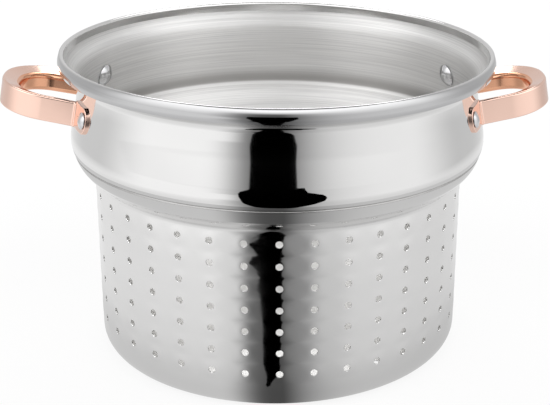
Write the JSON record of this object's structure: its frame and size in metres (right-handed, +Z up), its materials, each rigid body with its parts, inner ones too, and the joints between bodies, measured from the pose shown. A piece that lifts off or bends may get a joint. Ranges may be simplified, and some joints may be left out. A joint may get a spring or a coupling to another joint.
{
  "type": "pasta pot strainer insert",
  "caption": "Deep stepped steel strainer insert with a perforated basket, a rolled rim and two riveted copper-coloured loop handles.",
  "frame": {"origin": "middle of the base's underside, where the shell's axis meets the surface that it stands on", "axes": "+Z up along the shell's axis; +X through the right handle, -X through the left one; -Y is the side nearest the picture's camera"},
  "size_m": [0.3254, 0.256, 0.1815],
  "materials": {
    "polished_steel": "drawn stainless steel, mirror polished outside and in the basket, with a satin upper band inside",
    "copper_coat": "cast stainless steel with a polished rose-copper coat",
    "rivet_steel": "polished stainless steel"
  },
  "bodies": {
    "root": {"strainer_basket": "polished_steel", "strainer_shoulder": "polished_steel", "strainer_band": "polished_steel", "strainer_rim": "polished_steel", "handle_left": "copper_coat", "handle_right": "copper_coat", "rivet_left_front": "rivet_steel", "rivet_left_rear": "rivet_steel", "rivet_right_front": "rivet_steel", "rivet_right_rear": "rivet_steel"}
  },
  "joints": []
}
